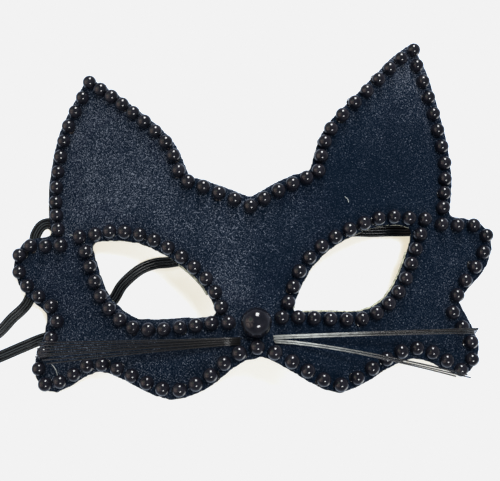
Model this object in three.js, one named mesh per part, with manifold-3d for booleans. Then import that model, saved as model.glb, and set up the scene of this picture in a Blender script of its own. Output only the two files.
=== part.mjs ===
// A velvet covered cat half mask, lying face up: an arched shell with two ears and two eye holes,
// black beads glued round its edge and round each eye, a bead for the nose, two bundles of
// whiskers, and a flat elastic strap that lies loose behind it.
// Millimetres. +X is to the right as the mask is looked at, +Y towards the ears, +Z up.
import * as THREE from 'three';
import { mergeVertices } from 'three/addons/utils/BufferGeometryUtils.js';
import Module from 'manifold-3d';

const wasm = await Module();
wasm.setup();

// Shell
const halfWidth = 107;
const fullHeight = 158;
const wallThickness = 2.2;
const archHeight = 30;
const archSoftness = 1.3;
const ridgeHeight = 9;
const ridgeHalfWidth = 12;
const ridgeFlare = 8;
const outlineStep = 7;

// Beads
const beadDiameter = 6.1;
const glueNeckDiameter = 2;
const beadSides = 10;
const noseDiameter = 12.4;

// Whiskers
const whiskerDiameter = 0.9;
const whiskerSides = 5;
const whiskerLength = 84;
const whiskerDroop = 8;
const rootOffset = 7.5;
const rootSpread = 2.6;
const rootSeatLength = 9;
const rootSeatWidth = 3;
const rootSeatHeight = 1.6;

// Strap
const strapWidth = 5;
const strapThickness = 0.8;
const anchorPadSize = 7;
const anchorPadThickness = 1.2;

const clearance = 0.3;

// Where the arch meets the table on either side, from below the cheeks to above the ear tips.
// up is a share of fullHeight, reach a share of halfWidth.
const archFeet = [
  { up: -0.1, reach: 0.87 },
  { up: 0.08, reach: 0.88 },
  { up: 0.23, reach: 0.972 },
  { up: 0.36, reach: 0.99 },
  { up: 0.47, reach: 0.98 },
  { up: 0.61, reach: 0.86 },
  { up: 0.73, reach: 0.835 },
  { up: 1.1, reach: 0.8 },
];

// The nose ridge rises out of the brow and is full at the nose, in shares of fullHeight.
const ridgeStart = 0.4;
const ridgeFull = 0.08;

// Edge of the mask from the notch in the brow to the arch under the nose. across is a share of
// halfWidth, up of fullHeight, and inset, how far the beads are from the edge, of beadDiameter.
// The edge bends sharply at a corner. A row with beads has one on it and the others evenly from
// there to the next such row.
const rightEdge = [
  { across: 0, up: 0.525, inset: 0.72, corner: true, beads: 8 },
  { across: 0.15, up: 0.576, inset: 0.74, corner: false, beads: 0 },
  { across: 0.245, up: 0.594, inset: 0.52, corner: true, beads: 0 },
  { across: 0.313, up: 0.714, inset: 0.38, corner: false, beads: 7 },
  { across: 0.516, up: 0.862, inset: 0.36, corner: false, beads: 0 },
  { across: 0.631, up: 0.948, inset: 0.49, corner: false, beads: 0 },
  { across: 0.726, up: 1, inset: 0.54, corner: true, beads: 11 },
  { across: 0.78, up: 0.93, inset: 0.97, corner: false, beads: 0 },
  { across: 0.832, up: 0.78, inset: 0.83, corner: false, beads: 0 },
  { across: 0.859, up: 0.62, inset: 0.83, corner: false, beads: 0 },
  { across: 0.819, up: 0.475, inset: 0.79, corner: true, beads: 8 },
  { across: 0.946, up: 0.467, inset: 0.62, corner: false, beads: 0 },
  { across: 1, up: 0.415, inset: 0.64, corner: false, beads: 0 },
  { across: 0.96, up: 0.33, inset: 0.92, corner: false, beads: 0 },
  { across: 0.826, up: 0.24, inset: 0.6, corner: true, beads: 0 },
  { across: 0.838, up: 0.222, inset: 1.13, corner: false, beads: 17 },
  { across: 0.905, up: 0.12, inset: 0.75, corner: false, beads: 0 },
  { across: 0.874, up: 0.054, inset: 0.59, corner: false, beads: 0 },
  { across: 0.795, up: 0.035, inset: 0.33, corner: false, beads: 0 },
  { across: 0.608, up: 0.08, inset: 0.75, corner: false, beads: 0 },
  { across: 0.361, up: 0.002, inset: 0.61, corner: false, beads: 0 },
  { across: 0.25, up: 0, inset: 0.52, corner: false, beads: 0 },
  { across: 0.053, up: 0.078, inset: 0.4, corner: false, beads: 0 },
];
const leftEdge = [
  { across: 0, up: 0.087, inset: 0.59, corner: false, beads: 18 },
  { across: 0.075, up: 0.074, inset: 0.49, corner: false, beads: 0 },
  { across: 0.17, up: 0.03, inset: 0.48, corner: false, beads: 0 },
  { across: 0.284, up: 0, inset: 0.56, corner: false, beads: 0 },
  { across: 0.393, up: 0.007, inset: 0.69, corner: false, beads: 0 },
  { across: 0.623, up: 0.089, inset: 0.54, corner: false, beads: 0 },
  { across: 0.74, up: 0.062, inset: 0.49, corner: false, beads: 0 },
  { across: 0.847, up: 0.043, inset: 0.56, corner: false, beads: 0 },
  { across: 0.906, up: 0.078, inset: 0.52, corner: false, beads: 0 },
  { across: 0.915, up: 0.14, inset: 0.62, corner: false, beads: 0 },
  { across: 0.868, up: 0.2, inset: 0.84, corner: false, beads: 0 },
  { across: 0.857, up: 0.24, inset: 1.2, corner: false, beads: 8 },
  { across: 0.851, up: 0.261, inset: 0.75, corner: true, beads: 0 },
  { across: 0.955, up: 0.33, inset: 0.67, corner: false, beads: 0 },
  { across: 1, up: 0.405, inset: 0.61, corner: false, beads: 0 },
  { across: 0.953, up: 0.477, inset: 0.64, corner: false, beads: 0 },
  { across: 0.826, up: 0.479, inset: 0.84, corner: true, beads: 11 },
  { across: 0.848, up: 0.6, inset: 0.95, corner: false, beads: 0 },
  { across: 0.799, up: 0.78, inset: 0.92, corner: false, beads: 0 },
  { across: 0.674, up: 0.926, inset: 0.87, corner: false, beads: 14 },
  { across: 0.66, up: 0.942, inset: 0.4, corner: true, beads: 0 },
  { across: 0.515, up: 0.858, inset: 0.36, corner: false, beads: 0 },
  { across: 0.303, up: 0.708, inset: 0.43, corner: false, beads: 0 },
  { across: 0.237, up: 0.596, inset: 0.49, corner: true, beads: 0 },
  { across: 0.148, up: 0.573, inset: 0.64, corner: false, beads: 0 },
];

// Edges of the eye holes, each from its outer corner along the top and back along the bottom.
const rightEye = [
  { across: 0.648, up: 0.437, inset: 0.56, corner: true, beads: 12 },
  { across: 0.536, up: 0.441, inset: 0.52, corner: false, beads: 0 },
  { across: 0.417, up: 0.415, inset: 0.48, corner: false, beads: 0 },
  { across: 0.294, up: 0.368, inset: 0.52, corner: false, beads: 0 },
  { across: 0.207, up: 0.304, inset: 0.64, corner: false, beads: 0 },
  { across: 0.137, up: 0.206, inset: 0.52, corner: true, beads: 13 },
  { across: 0.271, up: 0.209, inset: 0.66, corner: false, beads: 0 },
  { across: 0.394, up: 0.206, inset: 0.59, corner: false, beads: 0 },
  { across: 0.491, up: 0.232, inset: 0.43, corner: false, beads: 0 },
  { across: 0.56, up: 0.287, inset: 0.44, corner: false, beads: 0 },
  { across: 0.619, up: 0.372, inset: 0.38, corner: false, beads: 0 },
];
const leftEye = [
  { across: 0.649, up: 0.44, inset: 0.44, corner: true, beads: 12 },
  { across: 0.553, up: 0.439, inset: 0.59, corner: false, beads: 0 },
  { across: 0.449, up: 0.421, inset: 0.61, corner: false, beads: 0 },
  { across: 0.34, up: 0.379, inset: 0.56, corner: false, beads: 0 },
  { across: 0.25, up: 0.329, inset: 0.48, corner: false, beads: 0 },
  { across: 0.187, up: 0.273, inset: 0.57, corner: false, beads: 0 },
  { across: 0.151, up: 0.207, inset: 0.62, corner: true, beads: 13 },
  { across: 0.253, up: 0.211, inset: 0.75, corner: false, beads: 0 },
  { across: 0.381, up: 0.215, inset: 0.85, corner: false, beads: 0 },
  { across: 0.47, up: 0.223, inset: 0.69, corner: false, beads: 0 },
  { across: 0.555, up: 0.267, inset: 0.43, corner: false, beads: 0 },
  { across: 0.6, up: 0.32, inset: 0.34, corner: false, beads: 0 },
  { across: 0.636, up: 0.407, inset: 0.38, corner: false, beads: 0 },
];

// The nose bead and the whisker roots under it, as shares of fullHeight.
const noseUp = 0.165;
const rootUp = 0.1315;

// One row for each whisker: its length and how far its tip rises, as shares of whiskerLength.
const rightWhiskers = [
  { length: 1, rise: 0.013 },
  { length: 0.997, rise: 0.006 },
  { length: 0.992, rise: 0 },
  { length: 0.986, rise: -0.009 },
  { length: 0.9, rise: -0.19 },
  { length: 0.925, rise: -0.205 },
  { length: 0.87, rise: -0.215 },
  { length: 0.94, rise: -0.225 },
];
const leftWhiskers = [
  { length: 0.995, rise: 0.056 },
  { length: 0.99, rise: 0.04 },
  { length: 0.995, rise: 0.026 },
  { length: 0.995, rise: 0.01 },
  { length: 1, rise: -0.003 },
  { length: 1.005, rise: -0.014 },
  { length: 0.975, rise: -0.032 },
  { length: 0.95, rise: -0.05 },
];

// Centre line of the strap, from behind the right side, under the mask, out to the left and back
// to its left anchor. It lies on the table except at its two ends. across is a share of
// halfWidth, up of fullHeight and rise, above where it lies, of archHeight.
const strapLie = strapThickness / 2 + 0.12;
const strapRoute = [
  { across: 0.682, up: 0.444, rise: 0.136 },
  { across: 0.631, up: 0.449, rise: 0.053 },
  { across: 0.570, up: 0.453, rise: 0.009 },
  { across: 0.505, up: 0.454, rise: 0.002 },
  { across: 0.390, up: 0.458, rise: 0 },
  { across: 0.140, up: 0.446, rise: 0 },
  { across: -0.112, up: 0.421, rise: 0 },
  { across: -0.322, up: 0.398, rise: 0 },
  { across: -0.410, up: 0.394, rise: 0 },
  { across: -0.478, up: 0.377, rise: 0 },
  { across: -0.546, up: 0.339, rise: 0 },
  { across: -0.587, up: 0.297, rise: 0 },
  { across: -0.664, up: 0.237, rise: 0 },
  { across: -0.757, up: 0.209, rise: 0 },
  { across: -0.873, up: 0.199, rise: 0 },
  { across: -0.968, up: 0.177, rise: 0 },
  { across: -1.059, up: 0.154, rise: 0 },
  { across: -1.159, up: 0.132, rise: 0 },
  { across: -1.248, up: 0.123, rise: 0 },
  { across: -1.304, up: 0.152, rise: 0 },
  { across: -1.276, up: 0.190, rise: 0 },
  { across: -1.196, up: 0.196, rise: 0 },
  { across: -1.121, up: 0.199, rise: 0 },
  { across: -1.059, up: 0.224, rise: 0 },
  { across: -1.008, up: 0.259, rise: 0 },
  { across: -0.959, up: 0.288, rise: 0 },
  { across: -0.934, up: 0.313, rise: 0 },
  { across: -0.909, up: 0.361, rise: 0 },
  { across: -0.903, up: 0.418, rise: 0 },
  { across: -0.909, up: 0.482, rise: 0 },
  { across: -0.896, up: 0.508, rise: 0 },
  { across: -0.876, up: 0.523, rise: 0 },
  { across: -0.846, up: 0.526, rise: 0.01 },
  { across: -0.821, up: 0.512, rise: 0.019 },
  { across: -0.804, up: 0.489, rise: 0.083 },
];
const rightAnchorAt = { across: 0.748, up: 0.433 };
const leftAnchorAt = { across: -0.78, up: 0.452 };

// Shape of the shell

function smoothRise(from, to, value) {
  const t = Math.min(1, Math.max(0, (value - from) / (to - from)));
  return t * t * (3 - 2 * t);
}

// Distance from the middle of the mask to the foot of its arch, at a height y.
function archReach(y) {
  const up = y / fullHeight;
  const last = archFeet.length - 1;
  const next = Math.min(last, Math.max(1, archFeet.findIndex((row) => row.up > up)));
  const lower = archFeet[next - 1];
  const upper = archFeet[next];
  const share = smoothRise(lower.up, upper.up, up);
  return halfWidth * (lower.reach + (upper.reach - lower.reach) * share);
}

// Height of the hollow back of the shell above the table.
function backHeight(x, y) {
  const across = Math.min(1, Math.abs(x) / archReach(y));
  const arch = archHeight * (1 - across ** 2) ** archSoftness;
  const grown = 1 - smoothRise(ridgeFull * fullHeight, ridgeStart * fullHeight, y);
  const spread = ridgeHalfWidth + ridgeFlare * grown;
  return arch + ridgeHeight * grown * Math.exp(-((x / spread) ** 2));
}

function backNormal(x, y) {
  const reachOut = 0.5;
  const slopeX = (backHeight(x + reachOut, y) - backHeight(x - reachOut, y)) / (2 * reachOut);
  const slopeY = (backHeight(x, y + reachOut) - backHeight(x, y - reachOut)) / (2 * reachOut);
  return new THREE.Vector3(-slopeX, -slopeY, 1).normalize();
}

function frontHeight(x, y) {
  return backHeight(x, y) + wallThickness / backNormal(x, y).z;
}

// A point above the velvet, measured square to it.
function aboveFront(x, y, lift) {
  return new THREE.Vector3(x, y, frontHeight(x, y)).addScaledVector(backNormal(x, y), lift);
}

function onFace(row, side) {
  return new THREE.Vector2(side * row.across * halfWidth, row.up * fullHeight);
}

// A closed edge through the rows, smooth between its corners, with the inset of its beads.
function edgeLoop(rows, step) {
  const loop = [];
  let stretch = [rows[0]];
  for (const row of [...rows.slice(1), rows[0]]) {
    stretch.push(row);
    if (row.corner) {
      const curve = new THREE.SplineCurve(stretch.map((member) => member.point));
      const steps = Math.max(2, Math.round(curve.getLength() / step));
      for (let k = 0; k < steps; k++) {
        const along = curve.getUtoTmapping(k / steps) * (stretch.length - 1);
        const from = Math.min(stretch.length - 2, Math.floor(along));
        const inset = THREE.MathUtils.lerp(stretch[from].inset, stretch[from + 1].inset, along - from);
        loop.push({
          point: curve.getPoint(along / (stretch.length - 1)),
          inset: inset * beadDiameter,
          seat: k === 0 && stretch[0].beads > 0,
        });
      }
      stretch = [row];
    }
  }
  return loop;
}

function edgePoints(rows) {
  return edgeLoop(rows, outlineStep).map(({ point }) => point);
}

const maskRows = [
  ...rightEdge.map((row) => ({ ...row, point: onFace(row, 1) })),
  ...leftEdge.map((row) => ({ ...row, point: onFace(row, -1) })),
];
const rightEyeRows = rightEye.map((row) => ({ ...row, point: onFace(row, 1) }));
const leftEyeRows = leftEye.map((row) => ({ ...row, point: onFace(row, -1) }));

// Solids and meshes

// Leaves a geometry with positions alone, its shared corners merged.
function shareCorners(geometry) {
  geometry.deleteAttribute('normal');
  geometry.deleteAttribute('uv');
  return mergeVertices(geometry, 1e-3);
}

function toSolid(geometry) {
  const shared = shareCorners(geometry);
  return new wasm.Manifold(
    new wasm.Mesh({
      numProp: 3,
      vertProperties: new Float32Array(shared.attributes.position.array),
      triVerts: new Uint32Array(shared.index.array),
    }),
  );
}

function toGeometry(solid) {
  const mesh = solid.getMesh();
  const geometry = new THREE.BufferGeometry();
  geometry.setAttribute('position', new THREE.BufferAttribute(mesh.vertProperties, mesh.numProp));
  geometry.setIndex(new THREE.BufferAttribute(mesh.triVerts, 1));
  geometry.computeVertexNormals();
  return geometry;
}

const materials = {
  velvet: new THREE.MeshStandardMaterial({ color: 0x14151a, roughness: 0.95, metalness: 0 }),
  bead: new THREE.MeshStandardMaterial({ color: 0x050505, roughness: 0.08, metalness: 0 }),
  whisker: new THREE.MeshStandardMaterial({ color: 0x0a0a0a, roughness: 0.25, metalness: 0 }),
  elastic: new THREE.MeshStandardMaterial({ color: 0x15151a, roughness: 0.85, metalness: 0 }),
};

function piece(name, geometry, material) {
  const mesh = new THREE.Mesh(geometry, material);
  mesh.name = name;
  return mesh;
}

// The shell is a curved sheet cut to the outline of the mask and pierced by the eyes.
function maskShell() {
  const rows = 14;
  const halfColumns = 12;
  const overReach = halfColumns / (halfColumns - 1);
  const crowding = 0.35;
  const tall = fullHeight + 2 * beadDiameter;
  const flat = new THREE.BoxGeometry(2 * overReach, tall, 2, 2 * halfColumns, rows, 1);
  const sheet = shareCorners(flat);
  const place = sheet.attributes.position;
  for (let i = 0; i < place.count; i++) {
    const y = place.getY(i) + fullHeight / 2;
    // The columns crowd towards the ridge and towards the foot of the arch.
    const turn = 2 * Math.PI * place.getX(i);
    const x = archReach(y) * (place.getX(i) - (crowding * Math.sin(turn)) / (2 * Math.PI));
    place.setXYZ(i, x, y, place.getZ(i) > 0 ? frontHeight(x, y) : backHeight(x, y));
  }
  const shape = new THREE.Shape(edgePoints(maskRows));
  shape.holes.push(new THREE.Path(edgePoints(rightEyeRows)));
  // A hole's edge runs the other way round from the outline, as the right eye's rows already do.
  shape.holes.push(new THREE.Path(edgePoints(leftEyeRows).reverse()));
  const depth = 2 * (archHeight + ridgeHeight + wallThickness);
  const cutter = new THREE.ExtrudeGeometry(shape, { depth, bevelEnabled: false });
  cutter.translate(0, 0, -depth / 4);
  const solid = toSolid(sheet).intersect(toSolid(cutter));
  return piece('mask_shell', toGeometry(solid), materials.velvet);
}

// Rows of beads

// The spot inside an edge that belongs to one point of it, on the middle line of any bend there.
// side is 1 where the velvet lies left of the edge's direction and -1 where it lies right.
function insetSpot(loop, index, side) {
  const { point, inset } = loop[index];
  const before = loop[(index + loop.length - 1) % loop.length].point;
  const after = loop[(index + 1) % loop.length].point;
  const away = (a, b) => new THREE.Vector2(a.y - b.y, b.x - a.x).normalize().multiplyScalar(side);
  const arriving = away(before, point);
  const middle = arriving.clone().add(away(point, after)).normalize();
  return point.clone().addScaledVector(middle, inset / middle.dot(arriving));
}

// The line of the bead middles inside an edge, trimmed where it would come nearer to the edge.
function insetLine(loop, side) {
  const trim = 0.95;
  return loop
    .map(({ seat }, index) => ({ seat, spot: insetSpot(loop, index, side) }))
    .filter(({ seat, spot }) => (
      seat || loop.every(({ point, inset }) => point.distanceTo(spot) > inset * trim)
    ))
    .map(({ spot }) => spot);
}

function nearestIndex(line, target) {
  let best = 0;
  line.forEach((spot, index) => {
    if (spot.distanceTo(target) < line[best].distanceTo(target)) {
      best = index;
    }
  });
  return best;
}

// Middles of the beads along a closed edge, from its first row with beads.
function beadPlaces(rows, side) {
  const fineStep = 0.8;
  const lift = beadDiameter / 2 + clearance;
  const loop = edgeLoop(rows, fineStep);
  const line = insetLine(loop, side);
  const seats = rows.filter((row) => row.beads > 0).map(({ point: seat, beads }) => {
    const nearest = nearestIndex(loop.map(({ point }) => point), seat);
    return { start: nearestIndex(line, insetSpot(loop, nearest, side)), beads };
  });
  const places = [];
  seats.forEach(({ start, beads }, order) => {
    const end = seats[(order + 1) % seats.length].start;
    const span = (end - start + line.length) % line.length;
    const run = [];
    for (let k = 0; k <= span; k++) {
      const spot = line[(start + k) % line.length];
      run.push(aboveFront(spot.x, spot.y, lift));
    }
    const travelled = [0];
    for (let k = 1; k < run.length; k++) {
      travelled.push(travelled[k - 1] + run[k].distanceTo(run[k - 1]));
    }
    for (let bead = 0; bead < beads; bead++) {
      const goal = (bead * travelled[span]) / beads;
      const next = Math.max(1, travelled.findIndex((distance) => distance >= goal));
      const share = (goal - travelled[next - 1]) / (travelled[next] - travelled[next - 1]);
      places.push(run[next - 1].clone().lerp(run[next], share));
    }
  });
  return places;
}

// Fuses a row of beads into one body: a tube whose rings swell over each bead and pinch at the
// glue between two. An open row ends in the round of its first and last bead.
function beadRow(places, closed) {
  const radius = beadDiameter / 2;
  const ringOffset = 0.4 * radius;
  const ringRadius = 0.95 * radius;
  const count = places.length;
  const rings = [];
  const addRing = (middle, along, size) => {
    const upward = backNormal(middle.x, middle.y);
    const sideways = new THREE.Vector3().crossVectors(upward, along).normalize();
    upward.crossVectors(along, sideways).normalize();
    rings.push({ middle, upward, sideways, size });
  };
  places.forEach((place, index) => {
    const before = closed || index > 0 ? places[(index + count - 1) % count] : null;
    const after = closed || index < count - 1 ? places[(index + 1) % count] : null;
    const along = new THREE.Vector3().subVectors(after ?? place, before ?? place).normalize();
    const shifted = (offset) => place.clone().addScaledVector(along, offset);
    if (before) {
      const neckAlong = new THREE.Vector3().subVectors(place, before).normalize();
      addRing(place.clone().lerp(before, 0.5), neckAlong, glueNeckDiameter / 2);
    } else {
      addRing(shifted(-radius), along, 0);
    }
    addRing(shifted(-ringOffset), along, ringRadius);
    addRing(shifted(ringOffset), along, ringRadius);
    if (!after) {
      addRing(shifted(radius), along, 0);
    }
  });
  const segments = closed ? rings.length : rings.length - 1;
  const guide = new THREE.CatmullRomCurve3(places, closed);
  const tube = new THREE.TubeGeometry(guide, segments, radius, beadSides, closed);
  const position = tube.attributes.position;
  for (let i = 0; i < position.count; i++) {
    const ring = rings[Math.floor(i / (beadSides + 1)) % rings.length];
    const turn = ((i % (beadSides + 1)) / beadSides) * 2 * Math.PI;
    const spot = ring.middle.clone();
    spot.addScaledVector(ring.upward, ring.size * Math.cos(turn));
    spot.addScaledVector(ring.sideways, ring.size * Math.sin(turn));
    position.setXYZ(i, spot.x, spot.y, spot.z);
  }
  return tidySurface(tube);
}

// Merges shared corners and drops the faces that shrank to nothing at a pole.
function tidySurface(geometry) {
  const merged = shareCorners(geometry);
  const corners = merged.index.array;
  const kept = [];
  for (let i = 0; i < corners.length; i += 3) {
    const [a, b, c] = corners.slice(i, i + 3);
    if (a !== b && b !== c && c !== a) {
      kept.push(a, b, c);
    }
  }
  merged.setIndex(kept);
  merged.computeVertexNormals();
  return merged;
}

// The edge beads are two rows that meet at the notch in the brow and under the nose.
function edgeBeads() {
  const places = beadPlaces(maskRows, -1);
  const underNose = rightEdge.reduce((sum, row) => sum + row.beads, 0);
  const right = places.slice(1, underNose);
  const left = [...places.slice(underNose), places[0]];
  return [
    piece('edge_beads_right', beadRow(right, false), materials.bead),
    piece('edge_beads_left', beadRow(left, false), materials.bead),
  ];
}

function eyeBeads() {
  const right = beadPlaces(rightEyeRows, -1);
  const left = beadPlaces(leftEyeRows, 1);
  return [
    piece('eye_beads_right', beadRow(right, true), materials.bead),
    piece('eye_beads_left', beadRow(left, true), materials.bead),
  ];
}

function noseBead() {
  const ball = new THREE.SphereGeometry(noseDiameter / 2, 14, 8);
  ball.rotateX(Math.PI / 2);
  const mesh = piece('nose_bead', ball, materials.bead);
  mesh.position.copy(aboveFront(0, noseUp * fullHeight, noseDiameter / 2 + clearance));
  return mesh;
}

// Whiskers

// One bundle: filaments that leave a glued root beside the nose and fan out.
function whiskerBundle(name, rows, side) {
  const rootY = rootUp * fullHeight;
  const root = aboveFront(side * rootOffset, rootY, rootSeatHeight / 2 + clearance);
  const seat = shareCorners(new THREE.SphereGeometry(0.5, 8, 4));
  seat.scale(rootSeatLength, rootSeatWidth, rootSeatHeight);
  const lean = backNormal(root.x, root.y);
  seat.applyQuaternion(new THREE.Quaternion().setFromUnitVectors(new THREE.Vector3(0, 0, 1), lean));
  seat.translate(root.x, root.y, root.z);
  let solid = toSolid(seat);
  const corners = [];
  for (let k = 0; k < whiskerSides; k++) {
    const turn = (k / whiskerSides) * 2 * Math.PI;
    corners.push(new THREE.Vector2(Math.cos(turn), Math.sin(turn)).multiplyScalar(whiskerDiameter / 2));
  }
  const section = new THREE.Shape(corners);
  rows.forEach((row, index) => {
    const sidestep = rootSpread * (0.5 - index / (rows.length - 1));
    const reach = row.length * whiskerLength;
    const points = [0, 0.3, 0.65, 1].map((share) => new THREE.Vector3(
      root.x + side * reach * share,
      rootY + sidestep * (1 - share) + row.rise * whiskerLength * share ** 1.25,
      root.z - whiskerDroop * share ** 1.6,
    ));
    const strand = new THREE.ExtrudeGeometry(section, {
      steps: 2,
      bevelEnabled: false,
      extrudePath: new THREE.CatmullRomCurve3(points),
    });
    solid = solid.add(toSolid(strand));
  });
  return piece(name, toGeometry(solid), materials.whisker);
}

// Strap

// The spot on the hollow back where a strap end is glued, and the direction square to it.
function anchorSpot(at) {
  const x = at.across * halfWidth;
  const y = at.up * fullHeight;
  return { spot: new THREE.Vector3(x, y, backHeight(x, y)), lean: backNormal(x, y) };
}

function strapAnchor(name, at) {
  const { spot, lean } = anchorSpot(at);
  const pad = new THREE.BoxGeometry(anchorPadSize, anchorPadSize, anchorPadThickness);
  const mesh = piece(name, pad, materials.elastic);
  mesh.quaternion.setFromUnitVectors(new THREE.Vector3(0, 0, 1), lean);
  mesh.position.copy(spot).addScaledVector(lean, -(clearance + anchorPadThickness / 2));
  return mesh;
}

// The strap end lies just under its anchor pad.
function strapEnd(at) {
  const { spot, lean } = anchorSpot(at);
  const depth = 2 * clearance + anchorPadThickness + strapThickness;
  return spot.addScaledVector(lean, -depth);
}

function elasticStrap() {
  const chamfer = strapThickness / 4;
  const halfBand = strapWidth / 2;
  const halfThick = strapThickness / 2;
  const section = new THREE.Shape([
    new THREE.Vector2(-halfThick, -halfBand + chamfer),
    new THREE.Vector2(-halfThick + chamfer, -halfBand),
    new THREE.Vector2(halfThick - chamfer, -halfBand),
    new THREE.Vector2(halfThick, -halfBand + chamfer),
    new THREE.Vector2(halfThick, halfBand - chamfer),
    new THREE.Vector2(halfThick - chamfer, halfBand),
    new THREE.Vector2(-halfThick + chamfer, halfBand),
    new THREE.Vector2(-halfThick, halfBand - chamfer),
  ]);
  const start = strapEnd(rightAnchorAt);
  // The strap leaves its first anchor level, which keeps the band flat from there on.
  const leadIn = start.clone().add(new THREE.Vector3(-strapWidth / 2, strapThickness / 2, 0));
  const lying = strapRoute.map(({ across, up, rise }) => new THREE.Vector3(
    across * halfWidth,
    up * fullHeight,
    strapLie + rise * archHeight,
  ));
  const route = [start, leadIn, ...lying, strapEnd(leftAnchorAt)];
  const band = new THREE.ExtrudeGeometry(section, {
    steps: 42,
    bevelEnabled: false,
    extrudePath: new THREE.CatmullRomCurve3(route, false, 'centripetal'),
  });
  return piece('elastic_strap', band, materials.elastic);
}

// Assembly

const body = new THREE.Group();
body.add(
  maskShell(),
  ...edgeBeads(),
  ...eyeBeads(),
  noseBead(),
  whiskerBundle('whiskers_right', rightWhiskers, 1),
  whiskerBundle('whiskers_left', leftWhiskers, -1),
  strapAnchor('strap_anchor_right', rightAnchorAt),
  strapAnchor('strap_anchor_left', leftAnchorAt),
);

// The origin is on the table, under the middle of the mask without its loose strap.
const extent = new THREE.Box3().setFromObject(body, true);
const middle = extent.getCenter(new THREE.Vector3());

const catMask = new THREE.Group();
catMask.add(...body.children, elasticStrap());
catMask.position.set(-middle.x, -middle.y, -extent.min.z);

export default catMask;
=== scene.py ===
import math
import random

import bmesh
import bpy
from mathutils import Matrix, Vector, noise
from mathutils.bvhtree import BVHTree
from mathutils.kdtree import KDTree


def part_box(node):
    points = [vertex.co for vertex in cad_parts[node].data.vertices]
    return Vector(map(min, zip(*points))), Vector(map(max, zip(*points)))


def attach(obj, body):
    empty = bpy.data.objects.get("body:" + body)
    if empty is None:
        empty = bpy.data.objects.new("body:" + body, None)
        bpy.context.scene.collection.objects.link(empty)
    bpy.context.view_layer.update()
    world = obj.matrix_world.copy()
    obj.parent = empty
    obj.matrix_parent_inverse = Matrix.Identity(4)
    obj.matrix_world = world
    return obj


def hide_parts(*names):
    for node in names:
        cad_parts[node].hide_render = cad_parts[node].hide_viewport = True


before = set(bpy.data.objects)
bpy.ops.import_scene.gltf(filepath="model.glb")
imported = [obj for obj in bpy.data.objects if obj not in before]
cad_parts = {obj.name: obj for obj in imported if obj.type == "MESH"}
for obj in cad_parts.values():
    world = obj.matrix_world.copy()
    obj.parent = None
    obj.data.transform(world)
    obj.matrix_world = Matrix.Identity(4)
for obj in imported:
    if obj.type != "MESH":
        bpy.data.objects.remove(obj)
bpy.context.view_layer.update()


# Camera
# The photograph looks down on the lying mask, a little from its lower side, with the camera
# rolled so that the mask seems turned anticlockwise.
photo_width = 500
metres_per_pixel = 0.00043
view_distance = 0.48
view_tilt = math.radians(12)
view_roll = math.radians(3)
view_aim = Vector((-0.0009, -0.0119, 0.02))
film_width = 36

camera_data = bpy.data.cameras.new("photo_camera")
camera_data.sensor_width = film_width
camera_data.lens = film_width * view_distance / (metres_per_pixel * photo_width)
camera = bpy.data.objects.new("photo_camera", camera_data)
bpy.context.scene.collection.objects.link(camera)
view_way = Vector((0, -math.sin(view_tilt), math.cos(view_tilt)))
camera.matrix_world = (
    Matrix.Translation(view_aim + view_distance * view_way)
    @ Matrix.Rotation(view_tilt, 4, "X")
    @ Matrix.Rotation(-view_roll, 4, "Z")
)
bpy.context.scene.camera = camera


# Elastic strap
# A flat black elastic band, woven over rubber in four ribs. Its ends are glued behind the sides
# of the mask, and the rest lies loose on the table.
half_width = 0.107
full_height = 0.158
arch_height = 0.03
part_shift = Vector((-0.00002, -0.07834, 0))
strap_width = 0.005
strap_thickness = 0.0008
strap_ribs = 4
strap_step = 0.0012
table_gap = 0.00012
strap_lie = strap_thickness / 2 + table_gap
# Columns: across as a share of the half width, up as a share of the full height, and how far
# the strap rises above where it lies, as a share of the arch height.
strap_route = [
    (0.7402, 0.4278, 0.236),
    (0.7168, 0.4304, 0.236),
    (0.682, 0.444, 0.136),
    (0.631, 0.449, 0.053),
    (0.57, 0.453, 0.009),
    (0.505, 0.454, 0.002),
    (0.39, 0.458, 0),
    (0.14, 0.446, 0),
    (-0.112, 0.421, 0),
    (-0.322, 0.398, 0),
    (-0.41, 0.394, 0),
    (-0.478, 0.377, 0),
    (-0.546, 0.339, 0),
    (-0.587, 0.297, 0),
    (-0.664, 0.237, 0),
    (-0.757, 0.209, 0),
    (-0.873, 0.199, 0),
    (-0.968, 0.177, 0),
    (-1.059, 0.154, 0),
    (-1.159, 0.132, 0),
    (-1.248, 0.123, 0),
    (-1.304, 0.152, 0),
    (-1.276, 0.19, 0),
    (-1.196, 0.196, 0),
    (-1.121, 0.199, 0),
    (-1.059, 0.224, 0),
    (-1.008, 0.259, 0),
    (-0.959, 0.288, 0),
    (-0.934, 0.313, 0),
    (-0.909, 0.361, 0),
    (-0.903, 0.418, 0),
    (-0.909, 0.482, 0),
    (-0.896, 0.508, 0),
    (-0.876, 0.523, 0),
    (-0.846, 0.526, 0.01),
    (-0.821, 0.512, 0.019),
    (-0.804, 0.489, 0.083),
    (-0.7748, 0.4481, 0.169),
]


def on_face(across, up, height=0.0):
    """A place given in shares of the half width and full height, in the row frame."""
    return Vector((across * half_width, up * full_height, height)) + part_shift


def new_piece(name, mesh_or_bmesh, *materials):
    """Makes a smooth object of a mesh that is already in its place, with its materials."""
    mesh = mesh_or_bmesh
    if isinstance(mesh_or_bmesh, bmesh.types.BMesh):
        mesh = bpy.data.meshes.new(name)
        mesh_or_bmesh.to_mesh(mesh)
        mesh_or_bmesh.free()
    mesh.name = name
    mesh.shade_smooth()
    mesh.materials.clear()
    for material in materials:
        mesh.materials.append(material)
    piece = bpy.data.objects.new(name, mesh)
    bpy.context.scene.collection.objects.link(piece)
    return piece


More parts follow.
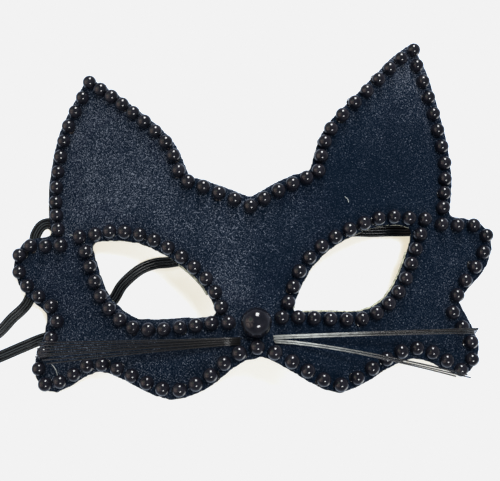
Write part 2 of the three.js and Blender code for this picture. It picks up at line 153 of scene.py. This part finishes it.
def new_material(name):
    """A node material with its shader, and helpers that add and wire nodes."""
    material = bpy.data.materials.new(name)
    material.use_nodes = True
    nodes = material.node_tree.nodes
    links = material.node_tree.links

    def add(kind, inputs=None, **settings):
        node = nodes.new("ShaderNode" + kind)
        for key, value in settings.items():
            setattr(node, key, value)
        for key, value in (inputs or {}).items():
            if isinstance(value, bpy.types.NodeSocket):
                links.new(value, node.inputs[key])
            else:
                node.inputs[key].default_value = value
        return node

    return material, nodes["Principled BSDF"], add, links.new


def ramp(add, value, *stops):
    """A colour ramp through the given stops, each a place and a colour."""
    node = add("ValToRGB", {"Fac": value})
    elements = node.color_ramp.elements
    while len(elements) < len(stops):
        elements.new(0.5)
    for element, (place, colour) in zip(elements, stops):
        element.position = place
        element.color = (*colour, 1)
    return node.outputs["Color"]


def smooth_line(points, spacing):
    """Points at an even spacing on a smooth curve through the given ones."""
    steps = 24
    dense = []
    for i in range(len(points) - 1):
        start_slope = (points[i + 1] - points[max(0, i - 1)]) / 2
        end_slope = (points[min(len(points) - 1, i + 2)] - points[i]) / 2
        for k in range(steps):
            t = k / steps
            dense.append(
                (2 * t**3 - 3 * t**2 + 1) * points[i]
                + (t**3 - 2 * t**2 + t) * start_slope
                + (3 * t**2 - 2 * t**3) * points[i + 1]
                + (t**3 - t**2) * end_slope
            )
    dense.append(points[-1])
    travelled = [0.0]
    for a, b in zip(dense, dense[1:]):
        travelled.append(travelled[-1] + (b - a).length)
    count = max(2, round(travelled[-1] / spacing))
    line = []
    k = 0
    for step in range(count + 1):
        goal = travelled[-1] * step / count
        while k < len(dense) - 2 and travelled[k + 1] < goal:
            k += 1
        share = (goal - travelled[k]) / (travelled[k + 1] - travelled[k])
        line.append(dense[k].lerp(dense[k + 1], min(1.0, share)))
    return line


def rib_profile():
    """Half round ribs side by side on both faces of the band."""
    per_rib = 5
    valley = 0.3
    roundness = 0.6
    count = strap_ribs * per_rib
    upper = []
    for k in range(count + 1):
        swell = abs(math.sin(math.pi * k / per_rib)) ** roundness
        height = strap_thickness / 2 * (valley + (1 - valley) * swell)
        upper.append(Vector((strap_width * (k / count - 0.5), height)))
    lower = [Vector((spot.x, -spot.y)) for spot in reversed(upper)]
    return upper + lower


def round_profile(radius, sides):
    """The points of a round section."""
    turns = [2 * math.pi * k / sides for k in range(sides)]
    return [Vector((radius * math.cos(turn), radius * math.sin(turn))) for turn in turns]


def sweep(bm, profile, line):
    """Adds a closed profile extruded along a line, its upper side kept upward."""
    stations = []
    for k, point in enumerate(line):
        ahead = (line[min(k + 1, len(line) - 1)] - line[max(k - 1, 0)]).normalized()
        side = ahead.cross(Vector((0, 0, 1))).normalized()
        up = side.cross(ahead).normalized()
        turn = Matrix((side, ahead, up)).transposed().to_4x4()
        stations.append(Matrix.Translation(point) @ turn)
    ring = [bm.verts.new(stations[0] @ Vector((spot.x, 0, spot.y))) for spot in profile]
    edges = [bm.edges.new((a, b)) for a, b in zip(ring, ring[1:] + ring[:1])]
    faces = bmesh.ops.contextual_create(bm, geom=edges)["faces"]
    for here, there in zip(stations, stations[1:]):
        made = bmesh.ops.extrude_edge_only(bm, edges=edges)["geom"]
        verts = [item for item in made if isinstance(item, bmesh.types.BMVert)]
        edges = [item for item in made if isinstance(item, bmesh.types.BMEdge)]
        faces += [item for item in made if isinstance(item, bmesh.types.BMFace)]
        bmesh.ops.transform(bm, matrix=there @ here.inverted(), verts=verts)
    faces += bmesh.ops.contextual_create(bm, geom=edges)["faces"]
    bmesh.ops.recalc_face_normals(bm, faces=faces)


def paint_ribs(mesh, line):
    """Stores at each vertex of the band how far up the side of a rib it lies."""
    middle = KDTree(len(line))
    for index, point in enumerate(line):
        middle.insert(point, index)
    middle.balance()
    ribs = mesh.attributes.new("rib", "FLOAT", "POINT")
    for vert in mesh.vertices:
        aside = middle.find(vert.co)[2] / strap_width
        ribs.data[vert.index].value = abs(math.sin(math.pi * strap_ribs * aside))


def elastic_material():
    """Black rubber thread, with painted shade between the ribs and a painted highlight along their
    tops.
    """
    material, shader, add, link = new_material("ribbed_elastic")
    place = add("TexCoord").outputs["Object"]
    weave = add("TexNoise", {"Vector": place, "Scale": 2600, "Detail": 2, "Roughness": 0.6})
    rib = add("Attribute", attribute_name="rib").outputs["Fac"]
    # Painted shade in the valleys between the ribs, and a painted highlight on the rib tops.
    tint = ramp(
        add,
        rib,
        (0.5, (0.0006, 0.0008, 0.001)),
        (0.85, (0.003, 0.004, 0.005)),
        (1.0, (0.03, 0.036, 0.038)),
    )
    link(tint, shader.inputs["Base Color"])
    bump = add("Bump", {"Height": weave.outputs["Fac"], "Strength": 0.15, "Distance": 0.0002})
    link(bump.outputs["Normal"], shader.inputs["Normal"])
    shader.inputs["Roughness"].default_value = 0.22
    shader.inputs["Specular IOR Level"].default_value = 0.3
    return material


strap_points = [
    on_face(across, up, strap_lie + rise * arch_height) for across, up, rise in strap_route
]
strap_line = smooth_line(strap_points, strap_step)
strap_mesh = bmesh.new()
sweep(strap_mesh, rib_profile(), strap_line)
elastic = elastic_material()
strap = new_piece("strap_band", strap_mesh, elastic)
paint_ribs(strap.data, strap_line)
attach(strap, "root")
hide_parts("elastic_strap")


# Strap anchors
# Two small pads of the same black elastic, glued behind the sides of the mask over the ends of
# the strap. The solids of the fixed model serve as they are, with the strap's finish.
for name in ("strap_anchor_right", "strap_anchor_left"):
    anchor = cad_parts[name]
    anchor.data.materials.clear()
    anchor.data.materials.append(elastic)


# Mask shell
# A stiff moulded half mask, covered with crushed black velvet that wraps round its edges and
# with plain black felt on its hollow back. The cut edge of its board shows inside the eye holes.
velvet_grain = 0.0009
velvet_pile = 0.00035
smoothing_rounds = 5
swell_pitch = 60
fray_pitch = 420
unevenness = 0.0003
nap_level = 0.42
nap_mottle = 0.2
hole_reach = 0.034
# Patches of painted sheen and painted shade on the velvet: lighter on its left side and at the tip
# of the right ear, darker to the right of the ridge. Columns: across and up as shares, the radius
# in metres, and how much lighter the painted sheen makes the velvet there, negative for painted
# shade.
painted_sheen_patches = [
    (-0.62, 0.72, 0.05, 0.45),
    (-0.15, 0.5, 0.028, 0.2),
    (-0.12, 0.28, 0.016, 0.45),
    (0.08, 0.31, 0.014, -0.35),
    (0.32, 0.55, 0.025, -0.25),
    (0.6, 0.56, 0.03, -0.25),
    (0.72, 0.93, 0.022, 0.6),
    (0.3, 0.1, 0.03, -0.35),
    (-0.85, 0.15, 0.03, 0.25),
    (-0.35, 0.05, 0.03, 0.15),
]


def merged_copy(node):
    """The mesh of a node of the fixed model, with its loose triangles joined."""
    bm = bmesh.new()
    bm.from_mesh(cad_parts[node].data)
    bmesh.ops.remove_doubles(bm, verts=bm.verts, dist=1e-5)
    return bm


def baked(piece):
    """The mesh of a piece as its modifiers leave it."""
    graph = bpy.context.evaluated_depsgraph_get()
    mesh = bpy.data.meshes.new_from_object(piece.evaluated_get(graph))
    bpy.data.objects.remove(piece)
    return mesh


def velvet_shell():
    """The shell with even small faces, softened edges and the thickness of its velvet."""
    copied = merged_copy("mask_shell")
    rough = bpy.data.meshes.new("rough_shell")
    copied.to_mesh(rough)
    copied.free()
    block = bpy.data.objects.new("rough_shell", rough)
    bpy.context.scene.collection.objects.link(block)
    remesh = block.modifiers.new("even_grain", "REMESH")
    remesh.mode = "VOXEL"
    remesh.voxel_size = velvet_grain
    bm = bmesh.new()
    bm.from_mesh(baked(block))
    for _ in range(smoothing_rounds):
        bmesh.ops.smooth_vert(
            bm, verts=bm.verts, factor=0.5, use_axis_x=True, use_axis_y=True, use_axis_z=True
        )
    bm.normal_update()
    for vert in bm.verts:
        front = max(0.0, vert.normal.z)
        side = 1 - abs(vert.normal.z)
        swell = noise.noise(vert.co * swell_pitch) * unevenness * front
        fray = noise.noise(vert.co * fray_pitch) * unevenness * side
        vert.co += vert.normal * (velvet_pile * front + swell + fray)
    return bm


def paint_sheen_and_mottle(mesh):
    """Stores at each vertex how light the velvet is painted: a base level, patches of painted sheen
    and painted shade, and random mottle.
    """
    sheen_and_mottle = mesh.attributes.new("sheen_and_mottle", "FLOAT", "POINT")
    for vert in mesh.vertices:
        lightness = nap_level
        for across, up, radius, strength in painted_sheen_patches:
            middle = on_face(across, up)
            away = math.hypot(vert.co.x - middle.x, vert.co.y - middle.y) / radius
            lightness += strength * math.exp(-away * away)
        coarse = noise.noise(vert.co * 45)
        fine = noise.noise(vert.co * 150)
        lightness += nap_mottle * coarse + nap_mottle * fine
        sheen_and_mottle.data[vert.index].value = min(1.0, max(0.0, lightness))


def velvet_material():
    """Blue black velvet, with pale specks where its crushed pile catches the light."""
    material, shader, add, link = new_material("crushed_velvet")
    place = add("TexCoord").outputs["Object"]
    # The stored painted sheen and painted shade, with the random mottle, lift or lower the grain,
    # so more or fewer pale specks show.
    sheen_and_mottle = add("Attribute", attribute_name="sheen_and_mottle").outputs["Fac"]
    grain = add("TexNoise", {"Vector": place, "Scale": 1650, "Detail": 2, "Roughness": 0.65})
    lifted = add("Math", {0: sheen_and_mottle, 1: 0.16}, operation="MULTIPLY")
    level = add("Math", {0: grain.outputs["Fac"], 1: lifted.outputs[0]}, operation="ADD")
    tint = ramp(
        add,
        level.outputs[0],
        (0.52, (0.0012, 0.0036, 0.008)),
        (0.68, (0.0105, 0.0155, 0.0255)),
        (0.82, (0.095, 0.107, 0.13)),
    )
    link(tint, shader.inputs["Base Color"])
    bump = add("Bump", {"Height": grain.outputs["Fac"], "Strength": 0.5, "Distance": 0.0003})
    link(bump.outputs["Normal"], shader.inputs["Normal"])
    shader.inputs["Roughness"].default_value = 0.8
    shader.inputs["Specular IOR Level"].default_value = 0.02
    return material


def felt_material():
    """Plain black felt of the back."""
    material, shader, add, link = new_material("backing_felt")
    place = add("TexCoord").outputs["Object"]
    fibre = add("TexNoise", {"Vector": place, "Scale": 900, "Detail": 4})
    tint = ramp(add, fibre.outputs["Fac"], (0.3, (0.003, 0.003, 0.004)), (0.8, (0.02, 0.02, 0.022)))
    link(tint, shader.inputs["Base Color"])
    bump = add("Bump", {"Height": fibre.outputs["Fac"], "Strength": 0.4, "Distance": 0.0002})
    link(bump.outputs["Normal"], shader.inputs["Normal"])
    shader.inputs["Roughness"].default_value = 0.95
    shader.inputs["Specular IOR Level"].default_value = 0.1
    return material


def board_material():
    """The pale cut edge of the board."""
    material, shader, add, link = new_material("cut_board")
    place = add("TexCoord").outputs["Object"]
    fibre = add("TexNoise", {"Vector": place, "Scale": 700, "Detail": 3})
    tint = ramp(add, fibre.outputs["Fac"], (0.35, (0.1, 0.1, 0.07)), (0.55, (0.33, 0.33, 0.25)))
    link(tint, shader.inputs["Base Color"])
    shader.inputs["Roughness"].default_value = 0.9
    return material


def hole_middles():
    """The middle of each eye hole, seen from above."""
    for node in ("eye_beads_right", "eye_beads_left"):
        low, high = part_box(node)
        yield (Vector(low).xy + Vector(high).xy) / 2


def in_hole(face, holes):
    """Tells whether a face of the shell lies on the wall of an eye hole, below its velvet."""
    if not -0.6 < face.normal.z < 0.15:
        return False
    inward = [middle - face.center.xy for middle in holes]
    nearest = min(inward, key=lambda way: way.length)
    return nearest.length < hole_reach and nearest.dot(face.normal.xy) > 0


board = board_material()
shell = new_piece("velvet_shell", velvet_shell(), velvet_material(), felt_material(), board)
paint_sheen_and_mottle(shell.data)
holes = list(hole_middles())
for face in shell.data.polygons:
    if in_hole(face, holes):
        face.material_index = 2
    elif face.normal.z < -0.3:
        face.material_index = 1
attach(shell, "root")
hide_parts("mask_shell")


# Pale edge of the eye holes
# A thin pale cream edge stands out a little under the velvet, along the lower right of the eye
# holes. It has the same pale finish as the cut edge of the board.
pale_edge_radius = 0.0006
pale_edge_drop = 0.0017
ray_start = 0.1
ray_step = 0.0002
ray_tries = 250
# Columns: the eye, and the two bearings in degrees, anticlockwise from the right, between which the
# pale edge shows.
pale_edge_arcs = [
    ("eye_beads_right", -150, 20),
    ("eye_beads_left", -20, 25),
]
shell_form = merged_copy("mask_shell")
shell_tree = BVHTree.FromBMesh(shell_form)
shell_form.free()


def hole_edge(middle, bearing):
    """The top of the shell at the edge of an eye hole, in a direction from its middle."""
    step = Vector((math.cos(bearing), math.sin(bearing), 0)) * ray_step
    spot = Vector((middle.x, middle.y, ray_start))
    for _ in range(ray_tries):
        spot += step
        top = shell_tree.ray_cast(spot, Vector((0, 0, -1)))[0]
        if top:
            return top


def pale_edge_piece():
    """A thin round pale edge along each listed stretch of the eye holes."""
    bm = bmesh.new()
    for node, start, end in pale_edge_arcs:
        low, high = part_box(node)
        middle = (Vector(low) + Vector(high)) / 2
        line = []
        for degrees in range(start, end + 1, 3):
            edge = hole_edge(middle, math.radians(degrees))
            line.append(edge - Vector((0, 0, pale_edge_drop)))
        sweep(bm, round_profile(pale_edge_radius, 6), line)
    return bm


pale_edge = new_piece("hole_pale_edge", pale_edge_piece(), board)
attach(pale_edge, "root")


# Edge and eye beads
# Round glossy black plastic pearls, glued on one by one along the edge of the mask and round
# each eye hole.
bead_radius = 0.00305
bead_sink = 0.00035
neck_edge = 0.001
bead_nodes = ("edge_beads_right", "edge_beads_left", "eye_beads_right", "eye_beads_left")
chance = random.Random(7)


def bead_centres(node):
    """Finds the middle of each bead in a node's fused row, by cutting the row at its necks."""
    bm = merged_copy(node)
    necks = {vert for edge in bm.edges if edge.calc_length() < neck_edge for vert in edge.verts}
    bmesh.ops.delete(bm, geom=list(necks), context="VERTS")
    centres = []
    # A dictionary keeps its order, so the beads come out the same in each run.
    left = {vert: True for vert in bm.verts}
    while left:
        island = [left.popitem()[0]]
        for vert in island:
            for edge in vert.link_edges:
                other = edge.other_vert(vert)
                if left.pop(other, False):
                    island.append(other)
        centres.append(sum((vert.co for vert in island), Vector()) / len(island))
    bm.free()
    return centres


def foot_of(centre):
    """The nearest spot of the shell under a bead, and the way from it to the bead."""
    spot = shell_tree.find_nearest(centre)[0]
    return spot, (centre - spot).normalized()


def pearl_material():
    """Glossy black plastic."""
    material, shader, add, link = new_material("black_pearl")
    place = add("TexCoord").outputs["Object"]
    cloud = add("TexNoise", {"Vector": place, "Scale": 300, "Detail": 2})
    tint = ramp(
        add, cloud.outputs["Fac"], (0.4, (0.003, 0.0035, 0.0055)), (0.7, (0.008, 0.008, 0.011))
    )
    link(tint, shader.inputs["Base Color"])
    shader.inputs["Roughness"].default_value = 0.09
    return material


def pearl_row(name, node, material):
    """Puts a pearl on each bead of a row, its poles turned at random and a little sunk in."""
    bm = bmesh.new()
    for centre in bead_centres(node):
        _, way = foot_of(centre)
        axis = Vector([chance.uniform(-1, 1) for _ in range(3)])
        place = Matrix.Translation(centre - way * bead_sink)
        place = place @ axis.to_track_quat("Z", "Y").to_matrix().to_4x4()
        size = bead_radius * chance.uniform(0.98, 1.02)
        bmesh.ops.create_uvsphere(bm, u_segments=20, v_segments=12, radius=size, matrix=place)
    piece = new_piece(name, bm, material)
    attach(piece, "root")
    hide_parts(node)


pearl = pearl_material()
for node in bead_nodes:
    pearl_row(node.replace("beads", "pearls"), node, pearl)


# Nose bead
# One large glossy black pearl of the same plastic as the small ones. It is glued on the end of
# the nose ridge, over the roots of the whiskers.
nose_low, nose_high = (Vector(corner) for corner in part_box("nose_bead"))
nose_middle = (nose_low + nose_high) / 2
nose_radius = (nose_high.x - nose_low.x) / 2


def nose_pearl():
    """One large sphere in the place of the fixed model's nose bead."""
    _, way = foot_of(nose_middle)
    place = Matrix.Translation(nose_middle - way * bead_sink)
    bm = bmesh.new()
    bmesh.ops.create_uvsphere(bm, u_segments=56, v_segments=36, radius=nose_radius, matrix=place)
    return bm


nose = new_piece("nose_pearl", nose_pearl(), pearl)
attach(nose, "root")
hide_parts("nose_bead")


# Glue
# Clear glue, squeezed out under each pearl as a low round drop that dried there. It shines
# where it stands out beyond the pearl.
glue_height = 0.0004


def glue_material():
    """Clear glue, dark because the velvet shows through it."""
    material, shader, _, _ = new_material("clear_glue")
    shader.inputs["Base Color"].default_value = (0.004, 0.005, 0.006, 1)
    shader.inputs["Roughness"].default_value = 0.12
    return material


def glue_drop(bm, centre, reach):
    """Adds a flat drop on the velvet under a pearl, a little off its middle."""
    spot, way = foot_of(centre)
    aside = Vector((chance.uniform(-1, 1), chance.uniform(-1, 1), 0)) * reach * 0.45
    place = Matrix.Translation(spot + way * velvet_pile)
    place = place @ way.to_track_quat("Z", "Y").to_matrix().to_4x4() @ Matrix.Translation(aside)
    place = place @ Matrix.Diagonal((reach, reach * chance.uniform(0.8, 1.1), glue_height, 1))
    bmesh.ops.create_uvsphere(bm, u_segments=12, v_segments=6, radius=1, matrix=place)


glue_mesh = bmesh.new()
for node in bead_nodes:
    for centre in bead_centres(node):
        glue_drop(glue_mesh, centre, bead_radius * chance.uniform(0.5, 0.75))
glue_drop(glue_mesh, nose_middle, nose_radius * 0.5)
glue = new_piece("glue_drops", glue_mesh, glue_material())
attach(glue, "root")


# Whiskers
# Two bundles of eight stiff black nylon bristles with blunt cut ends, glued side by side under the
# nose bead. They fan out over the cheeks, and a painted highlight in pale patches lies on the roots
# of the right ones.
bristle_radius = 0.00026
bristle_stagger = 0.0005
bristle_length = 0.084
bristle_droop = 0.008
root_offset = 0.0068
root_spread = 0.0028
root_up = 0.1315
root_height = 0.041
root_jitter = 0.0006
rise_curve = 1.25
droop_curve = 1.6
# How far along the right bristles the painted highlight reaches, and over what share of their
# length it fades.
glint_end = 0.5
glint_fade = 0.35
# Columns: the length of a bristle and the rise of its tip, as shares of the bristle length.
right_bristles = [
    (1, 0.013),
    (0.997, 0.006),
    (0.992, 0),
    (0.986, -0.009),
    (0.9, -0.2),
    (0.925, -0.21),
    (0.87, -0.214),
    (0.94, -0.225),
]
left_bristles = [
    (0.995, 0.056),
    (0.99, 0.04),
    (0.995, 0.026),
    (0.995, 0.01),
    (1, -0.003),
    (1.005, -0.014),
    (0.975, -0.032),
    (0.95, -0.05),
]


def bristle_bundle(rows, side):
    """Bristles that start side by side, fan out and droop toward their tips."""
    bm = bmesh.new()
    root = on_face(0, root_up, root_height) + Vector((side * root_offset, 0, 0))
    profile = round_profile(bristle_radius, 8)
    steps = 12
    for index, (length, rise) in enumerate(rows):
        sidestep = root_spread * (0.5 - index / (len(rows) - 1))
        start = chance.uniform(-root_jitter, root_jitter)
        line = []
        for step in range(steps + 1):
            share = step / steps
            along = length * bristle_length * share + start * (1 - share)
            upward = sidestep * (1 - share) + rise * bristle_length * share**rise_curve
            lift = bristle_stagger * (index % 2) - bristle_droop * share**droop_curve
            line.append(root + Vector((side * along, upward, lift)))
        sweep(bm, profile, line)
    return bm


def paint_glint(mesh, side):
    """Stores how strongly the painted highlight covers each vertex of the right bundle, fading
    toward the tips.
    """
    painted_glint = mesh.attributes.new("painted_glint", "FLOAT", "POINT")
    for vert in mesh.vertices:
        share = (side * vert.co.x - root_offset) / bristle_length
        painted_glint.data[vert.index].value = min(1.0, max(0.0, (glint_end - share) / glint_fade))


def bristle_material():
    """Black nylon, with a painted highlight in pale patches on the roots of the right bundle."""
    material, shader, add, link = new_material("nylon_bristle")
    place = add("TexCoord").outputs["Object"]
    painted_glint = add("Attribute", attribute_name="painted_glint").outputs["Fac"]
    patches = add("TexNoise", {"Vector": place, "Scale": 500, "Detail": 2})
    spread = add("Math", {0: patches.outputs["Fac"], 1: painted_glint}, operation="MULTIPLY")
    tint = ramp(add, spread.outputs[0], (0.0, (0.006, 0.006, 0.006)), (0.5, (0.2, 0.21, 0.2)))
    link(tint, shader.inputs["Base Color"])
    shader.inputs["Roughness"].default_value = 0.25
    shader.inputs["Specular IOR Level"].default_value = 0.5
    return material


nylon = bristle_material()
for name, rows, side in (("right", right_bristles, 1), ("left", left_bristles, -1)):
    bristles = new_piece(f"bristles_{name}", bristle_bundle(rows, side), nylon)
    if name == "right":
        paint_glint(bristles.data, side)
    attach(bristles, "root")
    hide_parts(f"whiskers_{name}")


# Lint
# A few fine pale threads that cling to the velvet, as the photograph shows them. They lie on the
# pile and bow a little.
lint_radius = 0.00011
lint_lift = 0.0009
# Columns: the two ends of a thread, across and up as shares, and how far it bows, in metres.
lint_threads = [
    (0.378, 0.519, 0.393, 0.502, 0.0004),
    (-0.744, 0.473, -0.679, 0.444, 0.0008),
    (-0.838, 0.122, -0.814, 0.09, 0.0005),
]


def lint_piece():
    """Threads laid along the front of the shell."""
    bm = bmesh.new()
    profile = round_profile(lint_radius, 5)
    steps = 10
    for from_across, from_up, to_across, to_up, bow in lint_threads:
        start = on_face(from_across, from_up)
        way = on_face(to_across, to_up) - start
        aside = Vector((-way.y, way.x, 0)).normalized() * bow
        line = []
        for step in range(steps + 1):
            share = step / steps
            spot = start + way * share + aside * math.sin(math.pi * share)
            top = shell_tree.ray_cast(spot + Vector((0, 0, ray_start)), Vector((0, 0, -1)))[0]
            line.append(top + Vector((0, 0, lint_lift)))
        sweep(bm, profile, line)
    return bm


def lint_material():
    """Pale matt thread."""
    material, shader, _, _ = new_material("pale_lint")
    shader.inputs["Base Color"].default_value = (0.35, 0.38, 0.36, 1)
    shader.inputs["Roughness"].default_value = 0.8
    return material


lint = new_piece("lint", lint_piece(), lint_material())
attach(lint, "root")


# Floor, light and surroundings
# A plain pale table top, strongly lit by a window on the upper side, a small lamp on the lower
# side and a ceiling light. As the beads mirror it, the room is dark above and paler below.
def pale_floor():
    """The table top. The beads don't mirror it, since it would ring each of them in white."""
    bm = bmesh.new()
    bmesh.ops.create_grid(bm, x_segments=1, y_segments=1, size=1.5)
    material, shader, _, _ = new_material("pale_table")
    shader.inputs["Base Color"].default_value = (0.22, 0.31, 0.48, 1)
    shader.inputs["Roughness"].default_value = 0.9
    shader.inputs["Specular IOR Level"].default_value = 0.0
    shader.inputs["Emission Color"].default_value = (0.83, 0.75, 0.57, 1)
    shader.inputs["Emission Strength"].default_value = 1.0
    table = new_piece("pale_table", bm, material)
    table.visible_glossy = False
    return table


pale_floor()


def soft_light(name, way, distance, size, radiance, mirrored=True):
    """A rectangular light in a direction from the mask, as bright per area as radiance says."""
    data = bpy.data.lights.new(name, "AREA")
    data.shape = "RECTANGLE"
    data.size, data.size_y = size
    data.energy = radiance * math.pi * size[0] * size[1]
    light = bpy.data.objects.new(name, data)
    bpy.context.scene.collection.objects.link(light)
    light.location = view_aim + Vector(way).normalized() * distance
    light.rotation_euler = Vector(way).to_track_quat("Z", "Y").to_euler()
    light.visible_glossy = mirrored


soft_light("window", (0.15, 0.8, 0.58), 1.2, (0.42, 0.6), 24)
soft_light("lamp", (0.24, -0.62, 0.75), 1.2, (0.4, 0.26), 24)
soft_light("ceiling", (0.2, 0.12, 1.0), 1.3, (0.25, 0.25), 95, mirrored=False)


def surroundings():
    """A pale fill for the matt surfaces, and a room that only the glossy ones mirror."""
    world = bpy.data.worlds.new("dim_room")
    world.use_nodes = True
    nodes = world.node_tree.nodes
    link = world.node_tree.links.new
    way = nodes.new("ShaderNodeTexCoord").outputs["Generated"]
    seen = nodes.new("ShaderNodeLightPath")

    def blend(share, first, second):
        mix = nodes.new("ShaderNodeMix")
        mix.data_type = "RGBA"
        link(share, mix.inputs[0])
        for index, colour in ((6, first), (7, second)):
            if isinstance(colour, tuple):
                mix.inputs[index].default_value = (*colour, 1)
            else:
                link(colour, mix.inputs[index])
        return mix.outputs[2]

    def glow(base, direction, inner, outer, colour, mottled=False):
        """Adds a soft bright spot in a direction, its two angles given in degrees."""
        facing = nodes.new("ShaderNodeVectorMath")
        facing.operation = "DOT_PRODUCT"
        link(way, facing.inputs[0])
        facing.inputs[1].default_value = Vector(direction).normalized()
        spread = nodes.new("ShaderNodeMapRange")
        spread.inputs["From Min"].default_value = math.cos(math.radians(outer))
        spread.inputs["From Max"].default_value = math.cos(math.radians(inner))
        link(facing.outputs["Value"], spread.inputs["Value"])
        share = spread.outputs["Result"]
        if mottled:
            cloud = nodes.new("ShaderNodeTexNoise")
            cloud.inputs["Scale"].default_value = 5
            link(way, cloud.inputs["Vector"])
            steep = nodes.new("ShaderNodeMapRange")
            steep.inputs["From Min"].default_value = 0.4
            steep.inputs["From Max"].default_value = 0.55
            link(cloud.outputs["Fac"], steep.inputs["Value"])
            product = nodes.new("ShaderNodeMath")
            product.operation = "MULTIPLY"
            link(share, product.inputs[0])
            link(steep.outputs["Result"], product.inputs[1])
            share = product.outputs[0]
        return blend(share, base, colour)

    room = glow((0.17, 0.17, 0.19), (0.0, 0.0, -1.0), 30, 95, (0.75, 0.88, 1.08))
    room = glow(room, (-0.75, 0.0, 0.5), 15, 42, (2.4, 1.9, 1.7), mottled=True)
    room = glow(room, (-0.66, 0.3, 0.68), 8, 16, (0.6, 0.95, 0.62))
    room = glow(room, (0.62, -0.5, -0.6), 14, 20, (3.0, 3.0, 3.0))
    plain = blend(seen.outputs["Is Camera Ray"], (0.55, 0.58, 0.62), (0.88, 0.88, 0.88))
    colour = blend(seen.outputs["Is Glossy Ray"], plain, room)
    link(colour, nodes["Background"].inputs["Color"])
    return world


bpy.context.scene.world = surroundings()

# The photograph is overexposed, and its white stops at a pale grey.
white_level = 0.888
view_settings = bpy.context.scene.view_settings
view_settings.view_transform = "Standard"
view_settings.use_curve_mapping = True
tone = view_settings.curve_mapping
tone.extend = "HORIZONTAL"
tone.curves[3].points[1].location = (1.0, white_level)
tone.update()
